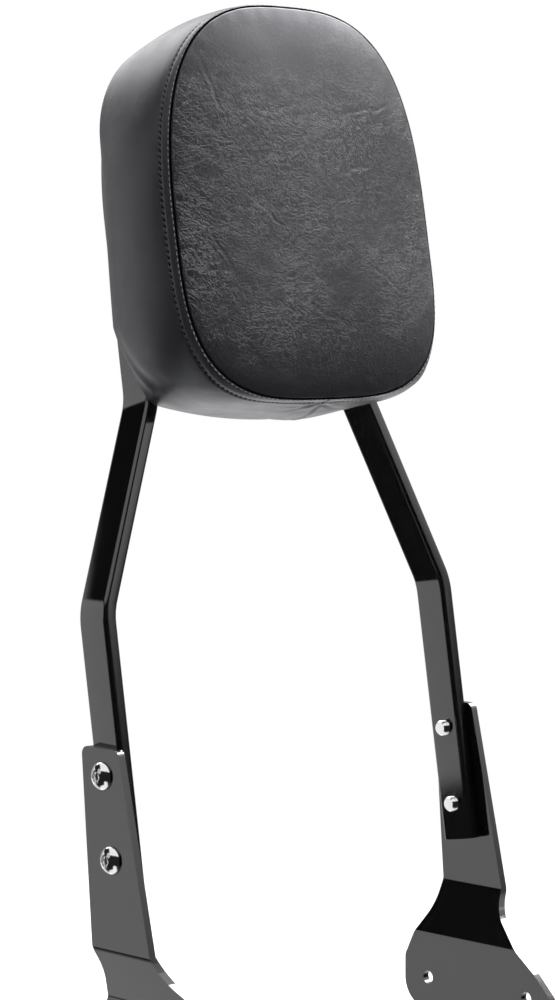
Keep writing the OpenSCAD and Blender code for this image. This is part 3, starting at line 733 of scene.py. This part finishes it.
# topstitch: black thread, partly painted shade of its holes
give(stitch_row("topstitch", wall_pts, wall_n, wall_s, STITCH_OFF, 2.3, 0.50, 0.28), "vinyl", THREAD_BLACK_AND_SHADE)
# seam stitches: grey thread, partly a painted highlight along the seam
give(stitch_row("seam_stitches", wall_pts, wall_n, wall_s, 1.3, 2.9, 0.26, 0.10, 0.5), "vinyl", THREAD_GREY_AND_HIGHLIGHT)
# a black strip of painted shade in the seam's groove
give(painted_seam_shade(0.75, 0.8), "vinyl", SEAM_SHADE_BLACK)


# ---------------------------------------------------------------- the hoop
def bar_path():
    k, cut = KNEE_ANGLE, KNEE_CUT
    st = [(LOW_X, -TAIL, 0.0)]

    def arc(cx, cz, r, a0, a1, n):
        for i in range(n + 1):
            a = a0 + (a1 - a0) * i / n
            st.append((cx + r * math.cos(a), cz + r * math.sin(a), a))

    arc(LOW_X - BEND, KNEE1 - cut, BEND, 0, k, 16)
    arc(TOP_X + BEND, KNEE2 + cut, -BEND, k, 0, 16)
    # the uprights draw in a little before the shoulders, so that the cover's edge hides them
    lean_in, turn, draw_from = 240.0, 0.2, 392.0
    c1 = Vector((TOP_X - lean_in, draw_from))
    top = CROWN - BAR_T / 2
    ray = Vector((math.cos(turn), math.sin(turn)))
    gap = c1 - Vector((0.0, CROWN_Z))
    d = (gap.length_squared - (top - lean_in) ** 2) / (2 * (top - lean_in - gap.dot(ray)))
    c2, r2 = c1 + ray * d, lean_in - d
    arc(c1.x, c1.y, lean_in, 0, turn, 14)
    end = math.atan2(c2.y - CROWN_Z, c2.x)
    arc(c2.x, c2.y, r2, turn, end, 36)
    n = 24
    mid = [(top * math.cos(a), CROWN_Z + top * math.sin(a), a)
           for a in [end + (math.pi - 2 * end) * i / n for i in range(1, n)]]
    return st + mid + [(-x, z, math.pi - a) for x, z, a in reversed(st)]


def section(w, t, r, n=8):
    pts = []
    for q, (sx, sy) in enumerate(((1, 1), (-1, 1), (-1, -1), (1, -1))):
        for k in range(n + 1):
            a = math.pi / 2 * (q + k / n)
            pts.append((sx * (t / 2 - r) + r * math.cos(a), sy * (w / 2 - r) + r * math.sin(a)))
    return pts


def make_hoop():
    sec = section(BAR_W, BAR_T, EDGE)
    rows = []
    for x, z, a in bar_path():
        rows.append([(x + c * math.cos(a), w, z + c * math.sin(a)) for c, w in sec])
    p = np.array(rows)
    # ease the cut ends
    for i, other in ((0, 1), (-1, -2)):
        cap = p[i].copy()
        mid = cap.mean(0)
        d = p[other][0] - cap[0]
        d /= np.linalg.norm(d)
        ring_in = mid + (cap - mid) * 0.94
        ring_1 = cap + d * 0.6
        if i == 0:
            p = np.concatenate([[ring_in], [ring_1], p[1:]])
        else:
            p = np.concatenate([p[:-1], [ring_1], [ring_in]])
    verts = world(p[..., 0], p[..., 1], p[..., 2]).reshape(-1, 3)
    m = len(sec)
    faces = grid_faces(len(p), m)
    faces.append(tuple(range(m)))
    faces.append(tuple((len(p) - 1) * m + j for j in range(m)))
    return mesh_object("hoop_bar", verts, faces, sharp=40)


hoop = make_hoop()
give(hoop, "gloss_black", PAINT, "hoop")


# ---------------------------------------------------------------- screws
def screw(name, origin, axis, d, length, hd, hh, af, depth, seg=72):
    """A button-head screw: head along axis, its underside at origin. Millimetres."""
    edge = hh * 0.2
    rise = hh - edge
    ball = (hd * hd / 4 + rise * rise) / (2 * rise)
    ang = np.arange(seg) * 2 * math.pi / seg
    hexa = (af / 2) / np.cos((ang % (math.pi / 3)) - math.pi / 6)
    one = np.ones(seg)
    rings = [(hexa * 0.02, hh - depth - 0.5), (hexa * 0.9, hh - depth), (hexa, hh - depth + 0.15),
             (hexa, hh - 0.75), (hexa * 1.05, hh - 0.35)]
    r_mouth = af / 2 / math.cos(math.pi / 6) * 1.16
    dome = lambda r: edge + rise - ball + math.sqrt(ball * ball - r * r)
    rings.append((one * r_mouth, dome(r_mouth)))
    for f in np.linspace(0.12, 1, 12):
        r = r_mouth + (hd / 2 - 0.35 - r_mouth) * f
        rings.append((one * r, dome(r)))
    rings += [(one * (hd / 2 - 0.1), edge * 0.95), (one * hd / 2, edge * 0.6), (one * hd / 2, 0.35),
              (one * (hd / 2 - 0.3), 0.0), (one * (d / 2 + 0.2), 0.0), (one * d / 2, -0.2)]
    tip = 6.0
    rings.append((one * d / 2, -length + tip))
    z = -length + tip
    while z > -length + 1.2:
        rings += [(one * d / 2, z), (one * (d / 2 - 0.45), z - 0.55), (one * d / 2, z - 1.1)]
        z -= 1.25
    rings += [(one * (d / 2 - 0.2), -length + 0.9), (one * (d / 2 - 1.1), -length), (one * 0.05, -length)]
    axis = np.array(axis, float)
    axis /= np.linalg.norm(axis)
    ref = np.array([0, 0, 1.0]) if abs(axis[2]) < 0.9 else np.array([1.0, 0, 0])
    u = np.cross(ref, axis)
    u /= np.linalg.norm(u)
    w = np.cross(axis, u)
    verts = []
    for r, h in rings:
        verts += [origin + axis * h + u * (rr * math.cos(g)) + w * (rr * math.sin(g)) for rr, g in zip(r, ang)]
    faces = grid_faces(len(rings), seg)
    faces += [tuple(range(seg)), tuple((len(rings) - 1) * seg + j for j in range(seg))]
    return mesh_object(name, np.array(verts) * 0.001, faces, sharp=32)


for side, word in ((-1, "right"), (1, "left")):
    for level, u in (("upper", BOLTS), ("lower", 0.0)):
        o = world(side * (BAR_FACE + PLATE_T), 0, u) * 1000
        s = screw(f"{word}_{level}_button_screw", o, (side, 0, 0), 10, 19.7, 17.5, 5.5, 6, 3.2)
        give(s, "chrome", CHROME, f"{word}_{level}_side_screw")
    for level, u in (("upper", STRAP_Z[1]), ("lower", STRAP_Z[0])):
        o = world(side * SCREW_X, STRAP_BACK - 1.6, u) * 1000
        ax = world(0, -1, 0) - world(0, 0, 0)
        s = screw(f"{level}_{word}_pad_bolt", o, ax, 6, 20, 10.5, 3.6, 4, 2.2, 48)
        give(s, "zinc_steel", ZINC, f"{level}_{word}_pad_screw")


# ---------------------------------------------------------------- CAD pieces that stay
def dress(node, material, bevel=0.0, sharp=30):
    ob = NODES[node]
    ob.data.materials.clear()
    ob.data.materials.append(material)
    ob.data.polygons.foreach_set("use_smooth", [True] * len(ob.data.polygons))
    if bevel:
        m = ob.modifiers.new("edge", "BEVEL")
        m.width = bevel * 0.001
        m.segments = 3
        m.limit_method = "ANGLE"
        m.angle_limit = 40 * RAD
        m.harden_normals = True


for n in ("left_side_plate", "right_side_plate"):
    dress(n, PAINT, 0.8)
for n in ("upper_strap", "lower_strap"):
    dress(n, PAINT, 0.6)
dress("base_tray", PLASTIC)
dress("foam_core", FOAM)
for n in NODES:
    if "tee_nut" in n or "washer" in n:
        dress(n, ZINC)


# ---------------------------------------------------------------- weld beads at the strap ends
def weld_bead(name, side, z, seed):
    """A fillet bead down the front and back of a strap's end, against the bar's inner face."""
    rng = np.random.default_rng(seed)
    verts, faces = [], []
    x0 = side * (NECK_W / 2 - BAR_T)
    for v0, face_dir in ((STRAP_FRONT, 1.0), (STRAP_BACK, -1.0)):
        count, sides = 64, 8
        base = len(verts)
        wobble = rng.uniform(-0.12, 0.12, count)
        for i in range(count):
            u = z - STRAP_H / 2 + 1.0 + (STRAP_H - 2.0) * i / (count - 1)
            end = min(1.0, 4 * min(i, count - 1 - i) / count + 0.25)
            r = (1.9 + 0.28 * abs(math.sin(i * 0.62)) + wobble[i]) * end
            for k in range(sides):
                g = math.pi / 2 * k / (sides - 1)
                verts.append((x0 - side * r * math.cos(g), v0 - 0.2 * face_dir + face_dir * r * math.sin(g) * 0.9, u))
            verts.append((x0 + side * 0.1, v0 - 0.6 * face_dir, u))
        faces += grid_faces(count, sides + 1, start=base)
        for first in (base, base + (count - 1) * (sides + 1)):
            faces.append(tuple(first + k for k in range(sides + 1)))
    p = np.array(verts)
    return mesh_object(name, world(p[:, 0], p[:, 1], p[:, 2]), faces, sharp=60)


for number, (side, word) in enumerate(((-1, "right"), (1, "left"))):
    for level, u in (("upper", STRAP_Z[1]), ("lower", STRAP_Z[0])):
        give(weld_bead(f"{level}_{word}_weld", side, u, 11 + number), "gloss_black", PAINT)


# ---------------------------------------------------------------- stage
me = bpy.data.meshes.new("floor")
F, FLOOR_Z = 8.0, -0.0216
me.from_pydata([(-F, -F, FLOOR_Z), (F, -F, FLOOR_Z), (F, F, FLOOR_Z), (-F, F, FLOOR_Z)], [], [(0, 1, 2, 3)])
floor = bpy.data.objects.new("floor", me)
bpy.context.scene.collection.objects.link(floor)
fm = bpy.data.materials.new("pale_floor")
fm.use_nodes = True
t = fm.node_tree
t.nodes.clear()
out = t.nodes.new("ShaderNodeOutputMaterial")
mixer = t.nodes.new("ShaderNodeMixShader")
lp = t.nodes.new("ShaderNodeLightPath")
plain = t.nodes.new("ShaderNodeBsdfDiffuse")
plain.inputs["Color"].default_value = (0.80, 0.80, 0.80, 1)
near_white = t.nodes.new("ShaderNodeAddShader")
seen = t.nodes.new("ShaderNodeBsdfDiffuse")
seen.inputs["Color"].default_value = (0.45, 0.45, 0.45, 1)
glow = t.nodes.new("ShaderNodeEmission")
glow.inputs["Strength"].default_value = 0.60
far_white = t.nodes.new("ShaderNodeEmission")
far_white.inputs["Strength"].default_value = 1.0
fade = t.nodes.new("ShaderNodeMixShader")
where = t.nodes.new("ShaderNodeTexCoord")
reach = t.nodes.new("ShaderNodeVectorMath")
reach.operation = "LENGTH"
t.links.new(where.outputs["Object"], reach.inputs[0])
edge = t.nodes.new("ShaderNodeMapRange")
edge.interpolation_type = "SMOOTHSTEP"
t.links.new(reach.outputs["Value"], edge.inputs["Value"])
for k, v in (("From Min", 0.25), ("From Max", 0.85)):
    edge.inputs[k].default_value = v
t.links.new(seen.outputs[0], near_white.inputs[0])
t.links.new(glow.outputs[0], near_white.inputs[1])
t.links.new(edge.outputs[0], fade.inputs[0])
t.links.new(near_white.outputs[0], fade.inputs[1])
t.links.new(far_white.outputs[0], fade.inputs[2])
t.links.new(lp.outputs["Is Camera Ray"], mixer.inputs[0])
t.links.new(plain.outputs[0], mixer.inputs[1])
t.links.new(fade.outputs[0], mixer.inputs[2])
t.links.new(mixer.outputs[0], out.inputs[0])
me.materials.append(fm)
floor.visible_glossy = False

# The room: white to the camera and soft grey to matt surfaces. Gloss sees a white studio with dark flags behind the
# camera, low in front, and above and below on the left of the back
w = bpy.data.worlds.new("room")
bpy.context.scene.world = w
w.use_nodes = True
t = w.node_tree
t.nodes.clear()
out = t.nodes.new("ShaderNodeOutputWorld")
lp = t.nodes.new("ShaderNodeLightPath")
tc = t.nodes.new("ShaderNodeTexCoord")
sep = t.nodes.new("ShaderNodeSeparateXYZ")
t.links.new(tc.outputs["Generated"], sep.inputs[0])


def ramp(value, lo, hi, a=0.0, b=1.0):
    m = t.nodes.new("ShaderNodeMapRange")
    m.interpolation_type = "SMOOTHSTEP"
    t.links.new(value, m.inputs["Value"])
    for k, v in (("From Min", lo), ("From Max", hi), ("To Min", a), ("To Max", b)):
        m.inputs[k].default_value = v
    return m.outputs[0]


def join(op, a, b):
    m = t.nodes.new("ShaderNodeMath")
    m.operation = op
    for s, v in zip(m.inputs, (a, b)):
        if isinstance(v, bpy.types.NodeSocket):
            t.links.new(v, s)
        else:
            s.default_value = v
    return m.outputs[0]


def towards(direction):
    dot = t.nodes.new("ShaderNodeVectorMath")
    dot.operation = "DOT_PRODUCT"
    t.links.new(tc.outputs["Generated"], dot.inputs[0])
    dot.inputs[1].default_value = direction
    return dot.outputs["Value"]


rise = sep.outputs[2]
level_band = join("MULTIPLY", ramp(rise, -0.62, -0.42), ramp(rise, 0.42, 0.62, 1.0, 0.0))
dark_front = join("MULTIPLY", ramp(towards((-0.69, -0.724, 0.0)), 0.12, 0.35), level_band)
back_left = ramp(towards((-0.60, 0.80, 0.0)), 0.60, 0.76)
dark_up = join("MULTIPLY", ramp(rise, 0.28, 0.34), back_left)
dark_down = join("MULTIPLY", ramp(rise, -0.47, -0.40, 1.0, 0.0), ramp(towards((-0.60, 0.80, 0.0)), 0.20, 0.40))
dark_down = join("MULTIPLY", dark_down, ramp(rise, -0.88, -0.74))
behind = join("MULTIPLY", ramp(towards((0.35, 0.937, 0.0)), 0.72, 0.92), ramp(rise, -0.30, -0.15))
behind = join("MULTIPLY", join("MULTIPLY", behind, ramp(rise, 0.20, 0.35, 1.0, 0.0)), 0.55)
dark_down = join("ADD", dark_down, behind)
low_front = join("MULTIPLY", ramp(rise, 0.04, 0.24, 1.0, 0.0), ramp(towards((0.30, -0.954, 0.0)), 0.10, 0.45))
dark = join("ADD", join("ADD", dark_front, dark_up), join("ADD", dark_down, join("MULTIPLY", low_front, 0.92)))
level = ramp(join("MINIMUM", dark, 1.0), 0.0, 1.0, 1.22, 0.02)
under = join("MULTIPLY", ramp(rise, -0.30, -0.50), ramp(towards((0.75, 0.66, 0.0)), 0.10, 0.45))
level = join("ADD", level, join("MULTIPLY", under, 1.0))
bg_cam = t.nodes.new("ShaderNodeBackground")
bg_cam.inputs[0].default_value = (1, 1, 1, 1)
bg_cam.inputs[1].default_value = 1.0
bg_gloss = t.nodes.new("ShaderNodeBackground")
t.links.new(level, bg_gloss.inputs[1])
bg_matt = t.nodes.new("ShaderNodeBackground")
bg_matt.inputs[0].default_value = (1, 1, 1, 1)
bg_matt.inputs[1].default_value = 0.26
is_gloss = join("MAXIMUM", lp.outputs["Is Glossy Ray"], lp.outputs["Is Transmission Ray"])
m1 = t.nodes.new("ShaderNodeMixShader")
m2 = t.nodes.new("ShaderNodeMixShader")
t.links.new(is_gloss, m1.inputs[0])
t.links.new(bg_matt.outputs[0], m1.inputs[1])
t.links.new(bg_gloss.outputs[0], m1.inputs[2])
t.links.new(lp.outputs["Is Camera Ray"], m2.inputs[0])
t.links.new(m1.outputs[0], m2.inputs[1])
t.links.new(bg_cam.outputs[0], m2.inputs[2])
t.links.new(m2.outputs[0], out.inputs[0])


def softbox(name, at, to, size, power):
    li = bpy.data.lights.new(name, "AREA")
    li.shape = "RECTANGLE"
    li.size, li.size_y = size
    li.energy = power
    ob = bpy.data.objects.new(name, li)
    ob.location = at
    ob.rotation_mode = "QUATERNION"
    ob.rotation_quaternion = (Vector(to) - Vector(at)).to_track_quat("-Z", "Y")
    ob.visible_camera = False
    bpy.context.scene.collection.objects.link(ob)
    return ob


MID = (0.0, 0.06, 0.45)
softbox("softbox_top", (1.2, 0.05, 2.1), MID, (1.7, 1.7), 180)
softbox("softbox_back_top", (0.30, 2.0, 1.95), MID, (1.7, 1.4), 18)
softbox("softbox_front_right", (1.9, -1.7, 1.9), MID, (1.2, 1.2), 4)
softbox("softbox_left", (-2.2, 0.9, 1.1), MID, (1.2, 1.2), 2.5)


# ---------------------------------------------------------------- camera
cam = bpy.data.cameras.new("camera")
cam.sensor_width = 36
cam.lens = 111.087
cam.clip_start, cam.clip_end = 0.05, 60
eye = bpy.data.objects.new("camera", cam)
eye.location = (-1.3505, -1.3667, 0.4600)
eye.rotation_euler = ((90 - 3.894) * RAD, 0, -43.602 * RAD)
bpy.context.scene.collection.objects.link(eye)
bpy.context.scene.camera = eye
bpy.context.scene.view_settings.view_transform = "Standard"
